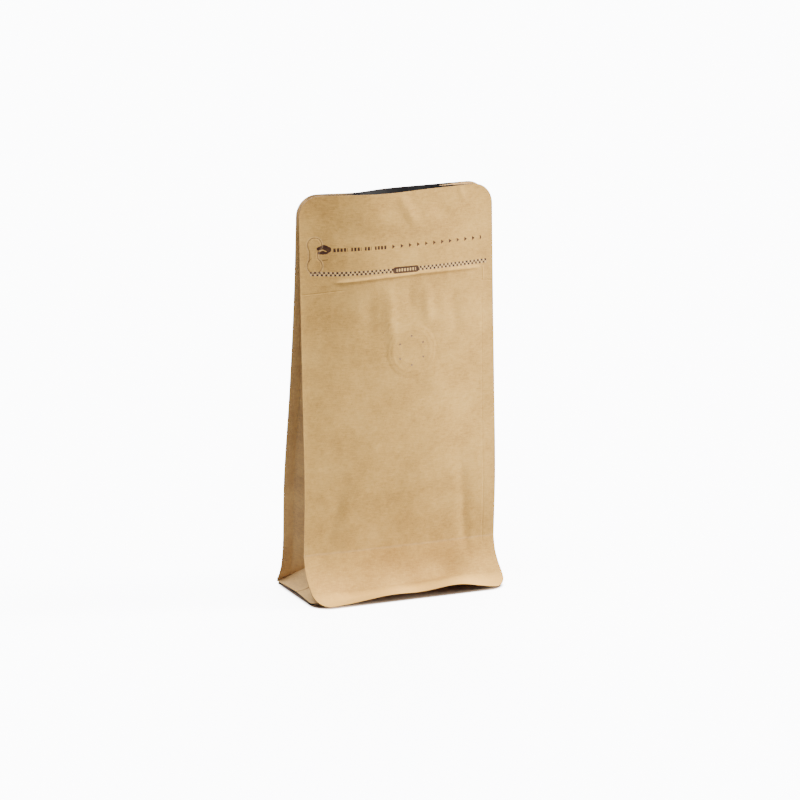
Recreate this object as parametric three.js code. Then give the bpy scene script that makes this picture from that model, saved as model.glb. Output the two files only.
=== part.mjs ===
// An empty flat-bottom coffee bag, standing with its mouth parted: five laminated paper webs
// heat-sealed to each other along fins, with a one-way valve and a press-to-close zip strip
// welded inside the front.
// Millimetres. The origin is on the floor in the middle of the footprint, +X runs along the
// front, the front faces -Y and +Z is up.
import * as THREE from "three";

// ---- Driving sizes ----
const HALF_WIDTH = 45; // half of the bag's width over the upright fins
const WEB_LENGTH = 181; // front and back webs, from the lip's cut edge to the mouth, along the paper
const WALL = 0.4; // thickness of one web
const SEAL_GAP = 0.3; // kept between two webs that are sealed face to face
const LAYER = WALL + SEAL_GAP;
const FIN = 5; // width of the heat seal down each upright edge
const LIP = 6.5; // width of the heat seal along the front and back bottom edges
const SIDE_LIP = 5; // width of the heat seal along the left and right bottom edges
const GUSSET_HALF = 24.5; // half of a side web's flat width, fin included
const GUSSET_BEND = 0.7; // half of the gap that the side web's centre crease keeps open
const SKIRT = GUSSET_HALF; // height along the web of the crease above the foot
const MOUTH_RADIUS = 9; // rounded corners at the mouth
const FOOT_RADIUS = { frontLeft: 8, frontRight: 4.5, back: 3.5 }; // rounded corners at the lip
const BOTTOM_HALF = 27; // half of the bottom web, from its lip edge to its centre crease
const BOTTOM_RECESS = 1.2; // how far its cut edge stays behind the lip's
const BOTTOM_RUN = 7; // how far in the bottom web takes to come down to the floor
const SIDE_GAP = 0.4; // room kept under the side web's slope
const CORNER_SLACK = 0.6; // extra room there where three webs meet
const CORNER_START = 2; // distance from the side at which the lip's seal starts to widen
const CORNER_RUN = 9; // and over which it comes to its full width
const CORNER_LIP = 0.25; // share of that width which it has at the side
const CORNER_FADE = 16; // distance in from the lip over which its rounded corner fades out
const BOTTOM_CREASE = 0.9; // height of the bottom web's centre crease
const CREASE_HALF = 4; // half of the width of that crease
const SIDE_EDGE_HEIGHT = 0.85; // the side web's bottom edge over the floor, at the corners
const SIDE_EDGE_RISE = 0.5; // and how much higher it is at its middle
const EDGE_SPREAD = 0.98; // the side web's bottom edge, as a share of its flat width
const RAMP_LEAD = 0.24; // how far the ramp runs ahead of an even pace inward
const RAMP_SAG = 0.65; // and how far it lags behind an even slope upward
const GUSSET_APEX = 16; // height of the point where the side web's folds meet
const BAG_HEIGHT = 177.2; // height of the mouth's edge over the floor
const FOOTPRINT_MIDDLE = -2.3; // y of the footprint's middle, measured from the plane below

// Side-on courses of the fins, as [distance along the web, y, z]. The skirt flares out below
// the crease, and the wall leans in above it.
const FRONT_CREASE = [SKIRT, -11.5, 20.2];
const FRONT_SKIRT = [[0, -24, 0.1], [6, -20.8, 5.2], [12, -16.4, 9.5], [18, -13.2, 14], FRONT_CREASE];
const FRONT_WALL = [
  FRONT_CREASE,
  [54.5, -12.8, 50],
  [92.5, -11.3, 88],
  [144, -9, 140],
  [WEB_LENGTH, -7.7, BAG_HEIGHT],
];
const BACK_CREASE = [SKIRT, 12.9, 22];
const BACK_SKIRT = [[0, 22.6, 0.3], [6.3, 18.2, 4.6], [12, 15.4, 9.6], [18.7, 13.7, 16.1], BACK_CREASE];
const BACK_WALL = [
  BACK_CREASE,
  [52.5, 11.3, 50],
  [95, 4, 92],
  [138.5, -1.8, 135],
  [WEB_LENGTH, -5, BAG_HEIGHT],
];

// How far each web swells between its fins, as [distance along the web, depth].
const FRONT_SWELL = [[0, 0], [SKIRT, 0.6], [60, 3], [100, 4], [144, 5], [WEB_LENGTH, 4.4]];
const BACK_SWELL = [[0, 0], [SKIRT, 0.6], [60, 3], [100, 3], [144, 1.2], [WEB_LENGTH, 0.3]];
const SWELL_SHAPE = 1.2; // over 1 keeps the web flatter beside its fins
const SWELL_DRIFT = { from: 60, over: 120, x: -7 }; // the front's fullest place moves left higher up

// The front lip curls off the floor in two waves.
const LIP_WAVES = [{ x: -9, height: 3, spread: 16 }, { x: 20.5, height: 4.4, spread: 14.5 }];
const WAVE_REACH = 18; // how far up the web the wave dies out
const WAVE_THROW = 0.7; // the lip moves this much forward for each millimetre that it lifts

const OPENING_START = 40; // distance up the back web at which the mouth's shape begins
const MOUTH_OPENING = 4; // extra depth at the right of the mouth, where the side web has come open
const BACK_DIP = { x: -19, spread: 11, depth: 3.6 }; // the back follows the front over the shut side

const VALVE = {
  x: 5, // middle, across the front
  along: 111.5, // middle, along the front web
  flange: 11, // radius of the rim welded to the film
  flangeThick: 0.7,
  body: 8.8, // radius of the raised body
  thick: 2.4,
  well: 5.5, // radius of the well that holds the flap
  wellDepth: 0.8,
  chamfer: 0.4,
  weld: 0.7, // gap left for the weld behind the front's inner face
};
const VALVE_SIDES = 28;
const ZIP = { half: 33, low: 139.2, high: 144.8, thick: 0.8 }; // along the front web
const ZIP_COLUMNS = 15;
const WALL_STEPS = 14; // rows of facets up the wall
const EDGE_ROW = 0.5; // first and last row of facets, which round the corners
const PANEL_COLUMNS = [HALF_WIDTH, 42.5, HALF_WIDTH - FIN, 37, 33, 27, 20, 13, 6.5];
const BOTTOM_ROWS = [
  BOTTOM_RECESS,
  LIP / 2,
  LIP,
  8.5,
  10.5,
  LIP + BOTTOM_RUN,
  15.5,
  18,
  BOTTOM_HALF - CREASE_HALF,
];
const BOTTOM_COLUMNS = [HALF_WIDTH, 44.6, 43.5, 41.7, HALF_WIDTH - FIN, 37, 35, 33, 27, 20, 13, 6.5];
const GUSSET_COLUMNS = [GUSSET_HALF, 22, GUSSET_HALF - FIN, 16.5, 13, 9, 4.5, GUSSET_BEND];

const KRAFT = { color: 0xc8aa80, roughness: 0.82, metalness: 0 };
const KRAFT_SHADE = { color: 0xb89468, roughness: 0.85, metalness: 0 };
const VALVE_FILM = { color: 0x3a3b3d, roughness: 0.5, metalness: 0 };
const ZIP_FILM = { color: 0x45464a, roughness: 0.45, metalness: 0 };

// ---- Small tools ----
const clamp01 = (t) => Math.min(Math.max(t, 0), 1);
const ease = (t) => clamp01(t) ** 2 * (3 - 2 * clamp01(t));
const hump = (t, middle, spread) => Math.exp(-(((t - middle) / spread) ** 2));
const cornerCut = (distance, radius) =>
  distance >= radius ? 0 : radius - Math.sqrt(radius ** 2 - (radius - distance) ** 2);

// A smooth curve through stations [t, value, ...], read from the given column.
function through(stations, column) {
  const last = stations.length - 1;
  const slopes = stations.map((_, i) => {
    const before = stations[Math.max(i - 1, 0)];
    const after = stations[Math.min(i + 1, last)];
    return (after[column] - before[column]) / (after[0] - before[0]);
  });
  return (t) => {
    let i = 0;
    while (i < last - 1 && t > stations[i + 1][0]) i += 1;
    const span = stations[i + 1][0] - stations[i][0];
    const u = (t - stations[i][0]) / span;
    const from = stations[i][column];
    const to = stations[i + 1][column];
    const bend = (1 - u) * slopes[i] * span - u * slopes[i + 1] * span;
    return from + (to - from) * u * u * (3 - 2 * u) + u * (1 - u) * bend;
  };
}

function course(skirt, wall, column) {
  const low = through(skirt, column);
  const high = through(wall, column);
  return (s) => (s < SKIRT ? low(s) : high(s));
}

// ---- The front and back webs ----
const frontY = course(FRONT_SKIRT, FRONT_WALL, 1);
const frontZ = course(FRONT_SKIRT, FRONT_WALL, 2);
const backY = course(BACK_SKIRT, BACK_WALL, 1);
const backZ = course(BACK_SKIRT, BACK_WALL, 2);
const frontSwell = through(FRONT_SWELL, 1);
const backSwell = through(BACK_SWELL, 1);

// The swell is nothing on the fins and full at `peak`.
function across(x, peak) {
  const inner = HALF_WIDTH - FIN;
  const ratio = x < peak ? (peak - x) / (peak + inner) : (x - peak) / (inner - peak);
  return Math.max(1 - ratio ** 2, 0) ** SWELL_SHAPE;
}

function lipLift(x) {
  return LIP_WAVES.reduce((sum, wave) => sum + wave.height * hump(x, wave.x, wave.spread), 0);
}

// Outer face of the front web, at a distance s along it from the lip's cut edge.
function front(x, s) {
  const wave = lipLift(x) * Math.max(1 - s / WAVE_REACH, 0) ** 2;
  const peak = SWELL_DRIFT.x * ease((s - SWELL_DRIFT.from) / SWELL_DRIFT.over);
  const y = frontY(s) - frontSwell(s) * across(x, peak) - WAVE_THROW * wave;
  return new THREE.Vector3(x, y, frontZ(s) + wave);
}

// Outer face of the back web.
function back(x, s) {
  const high = ease((s - OPENING_START) / (WEB_LENGTH - OPENING_START));
  const swell = across(x, 0);
  const opened = (MOUTH_OPENING * high * (x + HALF_WIDTH)) / (2 * HALF_WIDTH);
  const dip = BACK_DIP.depth * high * hump(x, BACK_DIP.x, BACK_DIP.spread) * Math.min(swell * 2, 1);
  return new THREE.Vector3(x, backY(s) + backSwell(s) * swell + opened - dip, backZ(s));
}

// A point at a depth inside the outer face of the front or back web.
function inset(web, x, s, depth) {
  const step = 0.05;
  const alongX = web(x + step, s).sub(web(x - step, s));
  const alongS = web(x, s + step).sub(web(x, s - step));
  const forward = alongX.cross(alongS).normalize();
  return web(x, s).addScaledVector(forward, web === front ? -depth : depth);
}

// ---- The side webs ----
// s is the distance up from the bottom edge, w the distance across from the centre crease,
// negative towards the front. Below the 45-degree folds the web runs out as a ramp to the bottom
// edge, and beyond them each half stands as a wall between its fin and the centre crease.
function creasePoint(side, web, s) {
  const rootX = side * (HALF_WIDTH - FIN);
  const nearRoot = inset(front, rootX, s, LAYER);
  const farRoot = inset(back, rootX, s, LAYER);
  const halfFold = GUSSET_HALF - FIN;
  const spread = Math.max(farRoot.y - nearRoot.y, 0) / 2;
  const x = side * (HALF_WIDTH - FIN - Math.sqrt(halfFold ** 2 - spread ** 2));
  const middle = (front(x, s).y + back(x, s).y) / 2;
  const z = GUSSET_APEX + ((BAG_HEIGHT - GUSSET_APEX) * (s - SKIRT)) / (WEB_LENGTH - SKIRT);
  return new THREE.Vector3(x, middle + (web === front ? -GUSSET_BEND : GUSSET_BEND), z);
}

function foldPoint(side, web, reach) {
  if (reach <= FIN) return inset(web, side * (HALF_WIDTH - reach), reach, LAYER);
  const root = inset(web, side * (HALF_WIDTH - FIN), FIN, LAYER);
  return root.lerp(creasePoint(side, web, SKIRT), (reach - FIN) / (GUSSET_HALF - FIN));
}

function wallPoint(side, web, s, reach) {
  if (reach <= FIN) return inset(web, side * (HALF_WIDTH - reach), s, LAYER);
  const root = inset(web, side * (HALF_WIDTH - FIN), s, LAYER);
  const end = s < SKIRT ? foldPoint(side, web, s) : creasePoint(side, web, s);
  const length = Math.min(s, GUSSET_HALF) - FIN;
  return root.lerp(end, Math.min((reach - FIN) / length, 1));
}

// The ramp starts shallow and steepens, the more so the nearer it is to the middle of the side.
function rampPoint(side, web, s, reach) {
  const outward = web === front ? -1 : 1;
  const share = reach / GUSSET_HALF;
  const edge = new THREE.Vector3(
    side * (HALF_WIDTH - share),
    outward * (GUSSET_HALF - reach) * EDGE_SPREAD,
    SIDE_EDGE_HEIGHT + SIDE_EDGE_RISE * share,
  );
  const fold = foldPoint(side, web, reach);
  const t = clamp01(s / reach);
  return new THREE.Vector3(
    edge.x + (fold.x - edge.x) * t ** (1 - RAMP_LEAD * share),
    edge.y + (fold.y - edge.y) * t,
    edge.z + (fold.z - edge.z) * t ** (1 + RAMP_SAG * share),
  );
}

// Height of the ramp at a distance q in from the bag's side.
function rampHeight(side, web, q, reach) {
  const share = reach / GUSSET_HALF;
  const run = HALF_WIDTH - Math.abs(foldPoint(side, web, reach).x) - share;
  const t = clamp01((q - share) / run) ** (1 / (1 - RAMP_LEAD * share));
  return rampPoint(side, web, t * reach, reach).z;
}

function gusset(side, s, w) {
  const web = w < 0 ? front : back;
  const reach = GUSSET_HALF - Math.abs(w);
  const point = s >= reach ? wallPoint(side, web, s, reach) : rampPoint(side, web, s, reach);
  if (w !== 0) return point;
  const other = s >= reach ? wallPoint(side, front, s, reach) : rampPoint(side, front, s, reach);
  point.lerp(other, 0.5);
  if (s >= reach) point.x -= side * GUSSET_BEND;
  return point;
}

// ---- The bottom web ----
// It is sealed inside the front and back lips and under the side webs' bottom edges, and comes
// down to the floor between them.
function bottom(x, v) {
  const web = v < 0 ? front : back;
  const side = x < 0 ? -1 : 1;
  const p = BOTTOM_HALF - Math.abs(v);
  const q = HALF_WIDTH - Math.abs(x);
  const underSideWeb = clamp01((p - q) / 3 + 1.5);
  const depth = LAYER * (1 + underSideWeb);
  const lip = LIP * Math.max(clamp01((q - CORNER_START) / CORNER_RUN), CORNER_LIP);
  const sealed = inset(web, x, Math.min(p, lip), depth);
  const down = ease((p - lip) / BOTTOM_RUN);
  const y = sealed.y * (1 - Math.max(p - lip, 0) / (BOTTOM_HALF - lip));
  const crease = BOTTOM_CREASE * Math.max(1 - Math.abs(v) / CREASE_HALF, 0);
  let z = WALL + (sealed.z - WALL) * (1 - down) + crease;
  const reach = Math.max(GUSSET_HALF - Math.abs(y) / EDGE_SPREAD, 0.01);
  if (q < reach) {
    const below = SIDE_GAP + CORNER_SLACK * hump(reach, FIN, FIN);
    const room = rampHeight(side, web, q, reach) - below;
    const rootRoom = rampHeight(side, web, Math.min(SIDE_LIP, reach), reach) - below;
    const sideZ = WALL + (rootRoom - WALL) * (1 - ease((q - SIDE_LIP) / BOTTOM_RUN));
    z = q <= SIDE_LIP ? room : Math.min(Math.max(z, sideZ), room);
  }
  return new THREE.Vector3(x, y, Math.max(z, WALL));
}

// ---- Building the solids ----
// A closed sheet. pointAt(i, j) gives one face, whose normal is (along j) x (along i), and the
// other face lies one thickness behind it.
function sheet(rows, columns, pointAt, thickness) {
  const near = [];
  for (let i = 0; i < rows; i += 1) {
    for (let j = 0; j < columns; j += 1) near.push(pointAt(i, j));
  }
  const faces = [];
  for (let i = 0; i + 1 < rows; i += 1) {
    for (let j = 0; j + 1 < columns; j += 1) {
      const a = i * columns + j;
      const [b, c, d] = [a + 1, a + columns + 1, a + columns];
      // The two halves split their quads towards the middle, as their folds run.
      if (j < (columns - 1) / 2) faces.push([a, b, c], [a, c, d]);
      else faces.push([a, b, d], [b, c, d]);
    }
  }
  const shell = new THREE.BufferGeometry().setFromPoints(near);
  shell.setIndex(faces.flat());
  shell.computeVertexNormals();
  const normal = new THREE.Vector3();
  const far = near.map((point, k) => {
    normal.fromBufferAttribute(shell.attributes.normal, k);
    return point.clone().addScaledVector(normal, -thickness);
  });
  const rim = [];
  for (let j = 0; j < columns; j += 1) rim.push(j);
  for (let i = 1; i < rows; i += 1) rim.push(i * columns + columns - 1);
  for (let j = columns - 2; j >= 0; j -= 1) rim.push((rows - 1) * columns + j);
  for (let i = rows - 2; i > 0; i -= 1) rim.push(i * columns);
  const count = near.length;
  const all = faces.concat(faces.map(([a, b, c]) => [a + count, c + count, b + count]));
  rim.forEach((a, k) => {
    const b = rim[(k + 1) % rim.length];
    all.push([b, a, a + count], [b, a + count, b + count]);
  });
  const solid = new THREE.BufferGeometry().setFromPoints(near.concat(far));
  solid.setIndex(all.flat());
  solid.computeVertexNormals();
  return solid;
}

// Half of a web's columns, outermost first, and the whole set that they mirror to.
const mirrored = (half) => [...half.map((x) => -x), 0, ...half.toReversed()];

// The side webs' 45-degree folds run through the crossings of their columns with rows as far
// from the bottom edge as the columns are from the upright edge.
const FOLD_ROWS = GUSSET_COLUMNS.map((w) => GUSSET_HALF - w);

// Rows up the wall, shared by the webs that are sealed to each other.
const WALL_ROWS = Array.from({ length: WALL_STEPS + 1 }, (_, k) => {
  return SKIRT + ((WEB_LENGTH - MOUTH_RADIUS - SKIRT) * k) / WALL_STEPS;
});
const MOUTH_ROWS = [WEB_LENGTH - 5, WEB_LENGTH - 2, WEB_LENGTH];

function footRadius(web, x) {
  if (web === back) return FOOT_RADIUS.back;
  return x < 0 ? FOOT_RADIUS.frontLeft : FOOT_RADIUS.frontRight;
}

// How far a web's upright edge is cut back at s, on the side that x is on.
function cutAt(web, x, s) {
  return Math.max(cornerCut(s, footRadius(web, x)), cornerCut(WEB_LENGTH - s, MOUTH_RADIUS));
}

function panelSolid(web) {
  const rows = [...FOLD_ROWS, EDGE_ROW, LIP, ...WALL_ROWS, ...MOUTH_ROWS, WEB_LENGTH - EDGE_ROW];
  rows.sort((a, b) => a - b);
  const columns = mirrored(PANEL_COLUMNS);
  const facing = web === front ? 1 : -1;
  return sheet(rows.length, columns.length, (i, j) => {
    const x = columns[j] * facing;
    const cut = cutAt(web, x, rows[i]) * (Math.abs(x) / HALF_WIDTH) ** 3;
    return web(x - Math.sign(x) * cut, rows[i]);
  }, WALL);
}

function gussetSolid(side) {
  const columns = mirrored(GUSSET_COLUMNS);
  const rows = [...FOLD_ROWS, ...WALL_ROWS.slice(1), ...MOUTH_ROWS];
  return sheet(rows.length, columns.length, (i, j) => {
    const w = columns[j] * -side;
    const cut = cutAt(w < 0 ? front : back, side, rows[i]) * (Math.abs(w) / GUSSET_HALF) ** 3;
    return gusset(side, rows[i], w - Math.sign(w) * cut);
  }, WALL);
}

function bottomSolid() {
  const rows = mirrored(BOTTOM_ROWS.map((p) => BOTTOM_HALF - p));
  const columns = mirrored(BOTTOM_COLUMNS);
  return sheet(rows.length, columns.length, (i, j) => {
    const p = BOTTOM_HALF - Math.abs(rows[i]);
    const radius = footRadius(rows[i] < 0 ? front : back, columns[j]);
    const cut = cornerCut(HALF_WIDTH - Math.abs(columns[j]), radius) * Math.max(1 - p / CORNER_FADE, 0);
    return bottom(columns[j], rows[i] - Math.sign(rows[i]) * cut);
  }, WALL);
}

// A disc with a flange welded to the film, a raised body and a well that holds the flap.
function valveSolid() {
  const { flange, flangeThick, body, thick, well, wellDepth, chamfer } = VALVE;
  const outline = [
    [0, 0],
    [flange, 0],
    [flange, flangeThick],
    [body, flangeThick + chamfer],
    [body - chamfer, thick],
    [well, thick],
    [well - chamfer, thick - wellDepth],
    [0, thick - wellDepth],
  ];
  return new THREE.LatheGeometry(outline.map(([r, h]) => new THREE.Vector2(r, h)), VALVE_SIDES);
}

function zipSolid() {
  return sheet(2, ZIP_COLUMNS, (i, j) => {
    const x = ZIP.half * ((2 * j) / (ZIP_COLUMNS - 1) - 1);
    return inset(front, x, i === 0 ? ZIP.low : ZIP.high, LAYER);
  }, ZIP.thick);
}

const bag = new THREE.Group();
bag.position.y = -FOOTPRINT_MIDDLE;

function add(name, geometry, finish) {
  const mesh = new THREE.Mesh(geometry, new THREE.MeshStandardMaterial(finish));
  mesh.name = name;
  bag.add(mesh);
  return mesh;
}

add("front_panel", panelSolid(front), KRAFT);
add("back_panel", panelSolid(back), KRAFT);
add("gusset_left", gussetSolid(-1), KRAFT_SHADE);
add("gusset_right", gussetSolid(1), KRAFT_SHADE);
add("bottom_panel", bottomSolid(), KRAFT_SHADE);
add("zip_strip", zipSolid(), ZIP_FILM);

const valve = add("degassing_valve", valveSolid(), VALVE_FILM);
const seat = inset(front, VALVE.x, VALVE.along, WALL + VALVE.weld);
const skin = inset(front, VALVE.x, VALVE.along, 0);
valve.position.copy(seat);
const inward = seat.clone().sub(skin).normalize();
valve.quaternion.setFromUnitVectors(new THREE.Vector3(0, 1, 0), inward);

export default bag;
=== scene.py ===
import math

import bmesh
import bpy
import numpy as np
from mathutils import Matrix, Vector


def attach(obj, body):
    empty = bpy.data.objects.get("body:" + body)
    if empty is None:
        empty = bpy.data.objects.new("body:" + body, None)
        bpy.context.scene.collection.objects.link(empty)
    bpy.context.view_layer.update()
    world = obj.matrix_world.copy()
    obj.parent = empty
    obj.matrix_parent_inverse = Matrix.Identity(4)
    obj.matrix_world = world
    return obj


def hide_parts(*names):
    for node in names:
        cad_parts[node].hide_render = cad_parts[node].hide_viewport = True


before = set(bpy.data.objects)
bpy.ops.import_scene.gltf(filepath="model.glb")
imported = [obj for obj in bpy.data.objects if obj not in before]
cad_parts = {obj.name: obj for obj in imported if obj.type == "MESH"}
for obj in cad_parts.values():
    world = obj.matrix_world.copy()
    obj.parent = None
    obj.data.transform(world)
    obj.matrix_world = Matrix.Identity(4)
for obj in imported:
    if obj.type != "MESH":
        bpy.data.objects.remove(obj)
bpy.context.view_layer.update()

# ---- Front web ----
# The front of the bag is one sheet of kraft paper laminated to foil and a charcoal sealing
# film. It is cut with rounded corners and heat-sealed to the side webs along 5 mm fins and to
# the bottom web along its flared lip. Lengths are millimetres, s runs up along the paper.
MM = 0.001
HALF_WIDTH = 45.0
WEB_LENGTH = 181.0
FILM = 0.2  # thickness of the laminate
SEAL = 0.05  # left between two sealed webs
LAYER = FILM + SEAL
FIN = 5.0  # width of the heat seal along each upright edge
GUSSET_HALF = 24.5  # of each side web, from its middle crease to its edge
SKIRT = 24.5  # the crease above the foot
CREASE_ROUND = 1.8
MOUTH_RADIUS = 9.0
FOOT_RADIUS = {"front_left": 8.0, "front_right": 4.5, "back": 3.5}
FOOTPRINT_MIDDLE = -2.3
# The web's course from foot to mouth as (s, y, z), and its swell as (s, how far).
FRONT_SKIRT = [
    (0, -24, 0.1), (6, -20.8, 5.2), (12, -16.4, 9.5), (18, -13.2, 14), (SKIRT, -11.5, 20.2),
]
FRONT_WALL = [
    (SKIRT, -11.5, 20.2), (54.5, -12.8, 50), (92.5, -11.3, 88), (144, -9, 140),
    (WEB_LENGTH, -7.7, 177.2),
]
FRONT_SWELL = [(0, 0), (SKIRT, 0.6), (60, 3), (100, 4), (144, 5), (WEB_LENGTH, 4.4)]
SWELL_PEAK, PEAK_START, PEAK_RUN = -6.0, 60.0, 120.0  # the peak moves left on the way up
LIP_WAVES = [(-9, 3, 16), (20.5, 4.4, 14.5)]  # middle, height, spread
WAVE_REACH, WAVE_LEAN = 18.0, 0.7  # up the web, and forward for each millimetre of height
MOUTH_SAG, SAG_MIDDLE, SAG_SPREAD, SAG_START = 0.6, -7.0, 15.0, 150.0
RIPPLE_WAVES, RIPPLE_PEAK = 14, 5.0  # how many are added up, and about how high they reach
RIPPLE_SPAN = (0.7, 1.8)  # their lengths, as shares of the wavelength asked for
UV_SPAN = 200.0  # millimetres of paper to one unit of the "web" UV map


def clamp01(t):
    return np.clip(t, 0.0, 1.0)


def ease(t):
    return clamp01(t) ** 2 * (3 - 2 * clamp01(t))


def hump(t, middle, spread):
    return np.exp(-(((t - middle) / spread) ** 2))


def through(stations, column):
    """A smooth curve through stations (t, value, ...), read from the given column."""
    table = np.array(stations, float)
    knots, values = table[:, 0], table[:, column]
    before = np.maximum(np.arange(len(knots)) - 1, 0)
    after = np.minimum(np.arange(len(knots)) + 1, len(knots) - 1)
    slopes = (values[after] - values[before]) / (knots[after] - knots[before])

    def curve(t):
        t = np.asarray(t, float)
        i = np.clip(np.searchsorted(knots, t) - 1, 0, len(knots) - 2)
        span = knots[i + 1] - knots[i]
        u = (t - knots[i]) / span
        bend = (1 - u) * slopes[i] * span - u * slopes[i + 1] * span
        return values[i] + (values[i + 1] - values[i]) * u * u * (3 - 2 * u) + u * (1 - u) * bend

    return curve


def course(skirt, wall, column):
    """The skirt's curve below the crease and the wall's above it, rounded where they meet."""
    low, high = through(skirt, column), through(wall, column)

    def curve(s):
        share = ease((s - SKIRT) / CREASE_ROUND + 0.5)
        return low(np.minimum(s, SKIRT + CREASE_ROUND)) * (1 - share) + high(s) * share

    return curve


def across(x, peak, fullness=1.25):
    """The swell over the width: nothing at the two edges and full at the peak."""
    ratio = np.where(x < peak, (peak - x) / (peak + HALF_WIDTH), (x - peak) / (HALF_WIDTH - peak))
    return np.maximum(1 - ratio**2, 0) ** fullness


def along_path(x, s, path, width, fade):
    """One on a path through (x, s) points, less and less across it and towards its two ends."""
    best, place = np.full(np.shape(x), 1e9), np.zeros(np.shape(x))
    legs = len(path) - 1
    for leg, ((ax, ay), (bx, by)) in enumerate(zip(path[:-1], path[1:])):
        ux, uy = bx - ax, by - ay
        t = clamp01(((x - ax) * ux + (s - ay) * uy) / (ux * ux + uy * uy))
        distance = np.hypot(x - ax - t * ux, s - ay - t * uy)
        place = np.where(distance < best, (leg + t) / legs, place)
        best = np.minimum(best, distance)
    return np.exp(-((best / width) ** 2)) * ease(place / fade) * ease((1 - place) / fade)


def ripple(x, s, seed, wavelength):
    """Slow undulation of a sheet that has been handled, between about -1 and 1."""
    draw = np.random.default_rng(seed)
    total = np.zeros(np.shape(x))
    for _ in range(RIPPLE_WAVES):
        turn, phase = draw.uniform(0, 2 * np.pi, 2)
        pace = 2 * np.pi / (wavelength * draw.uniform(*RIPPLE_SPAN))
        total += np.sin((x * np.cos(turn) + s * np.sin(turn)) * pace + phase)
    return total / RIPPLE_PEAK


front_y, front_z = course(FRONT_SKIRT, FRONT_WALL, 1), course(FRONT_SKIRT, FRONT_WALL, 2)
front_swell = through(FRONT_SWELL, 1)


def front_plain(x, s):
    """The front's outer face without its folds and fine relief."""
    wave = sum(height * hump(x, middle, spread) for middle, height, spread in LIP_WAVES)
    wave = wave * np.maximum(1 - s / WAVE_REACH, 0) ** 2
    near_mouth = ease((s - SAG_START) / (WEB_LENGTH - SAG_START))
    sag = MOUTH_SAG * hump(x, SAG_MIDDLE, SAG_SPREAD) * near_mouth
    swell = front_swell(s) * across(x, SWELL_PEAK * ease((s - PEAK_START) / PEAK_RUN))
    y = front_y(s) - swell - WAVE_LEAN * wave
    return np.stack([x + 0 * s, y - FOOTPRINT_MIDDLE, front_z(s) + wave - sag], -1)


VALVE_X, VALVE_S = 4.2, 112.1
PINHOLE_RADIUS = 6.3  # of the circle they lie on
PINHOLES = [
    (VALVE_X + PINHOLE_RADIUS * math.cos(turn), VALVE_S + PINHOLE_RADIUS * math.sin(turn))
    for turn in (math.radians(90 + 60 * k) for k in range(6))
]
VALVE_RINGS = [(10.9, 0.6, 0.07), (8.9, 0.75, 0.07)]  # radius, spread, height
VALVE_STEPS = [(11.9, 2.4, 0.1), (5.4, 1.2, -0.06)]  # radius of the outer end, run, height
SEAL_CALM = 9.0  # from a sealed edge to where the undulations are full
FOOT_CALM = 4.0  # and from the foot's edge
FOLD_LEFT = 0.15  # share of a fold's height that is left at a sealed edge
LONG_WAVE, SHORT_WAVE, SHORT_HEIGHT = 30.0, 9.0, 0.05
FRONT_LONG_HEIGHT, FRONT_SEEDS = 0.16, (4, 9)
# Folds pressed into the front, as (points on the web, width, height, share of length that fades).
FRONT_FOLDS = [
    ([(-31, 143.5), (-10, 144.5), (9, 145.1), (40, 144.8)], 0.75, 0.62, 0.06),
    ([(-2.5, 182), (8.8, 164)], 2.6, 0.45, 0.4),
    ([(16.5, 178), (22.5, 165)], 4.2, -0.5, 0.5),
    ([(28, 182), (31.5, 173)], 1.2, 0.22, 0.4),
    ([(-6.4, 143), (-5.4, 126), (-3.8, 112)], 2.8, 0.40, 0.35),
    ([(-15, 143), (-15.5, 112)], 3.6, -0.28, 0.4),
    ([(3, 142), (4.5, 126)], 2.4, -0.24, 0.35),
    ([(11.5, 143), (12.5, 120)], 2.6, 0.36, 0.35),
    ([(24.5, 142), (25.5, 114)], 3.4, -0.32, 0.4),
    ([(12, 110), (16, 88)], 5.0, 0.32, 0.5),
    ([(26.2, 78), (30.2, 32), (32, 12)], 2.6, -0.36, 0.5),
    ([(-25.5, 66), (-35.5, 22)], 3.0, -0.26, 0.5),
    ([(-43, 9.0), (-31.8, 7.6), (-14.2, 6.0), (10.5, 8.2), (29.8, 8.8), (38.8, 7.4), (46, 6.8)],
     2.2, -0.4, 0.04),
    ([(-42, 8.5), (-16, 9.6), (8, 10.8), (36, 13.4)], 6.0, -2.5, 0.24),
    ([(-14, 192), (-14, 162)], 13.0, 0.9, 0.35),
    ([(7, 8.5), (19.8, 12.6), (29, 16.6)], 3.2, -0.5, 0.5),
]


def pressed(x, s, folds, calm, long_height, seeds):
    """Height of a web's folds and undulations over its plain face."""
    high = sum(height * along_path(x, s, path, width, fade) for path, width, height, fade in folds)
    high = high * (FOLD_LEFT + (1 - FOLD_LEFT) * calm)
    high = high + long_height * calm * ripple(x, s, seeds[0], LONG_WAVE)
    high = high + SHORT_HEIGHT * calm * ripple(x, s, seeds[1], SHORT_WAVE)
    return high * ease(s / FOOT_CALM)


def front_relief(x, s):
    calm = ease((HALF_WIDTH - np.abs(x)) / SEAL_CALM)
    high = pressed(x, s, FRONT_FOLDS, calm, FRONT_LONG_HEIGHT, FRONT_SEEDS)
    radius = np.hypot(x - VALVE_X, s - VALVE_S)
    rings = sum(height * hump(radius, middle, spread) for middle, spread, height in VALVE_RINGS)
    steps = sum(height * ease((start - radius) / run) for start, run, height in VALVE_STEPS)
    return high + steps + rings


def outward(web, x, s, facing, step=0.05):
    """Unit normal of a web's outer face; facing is -1 for the front and 1 for the back."""
    along_x = web(x + step, s) - web(x - step, s)
    along_s = web(x, s + step) - web(x, s - step)
    normal = np.cross(along_s, along_x) * facing
    return normal / np.linalg.norm(normal, axis=-1, keepdims=True)


def front_web(x, s):
    return front_plain(x, s) + front_relief(x, s)[..., None] * outward(front_plain, x, s, -1)


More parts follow.
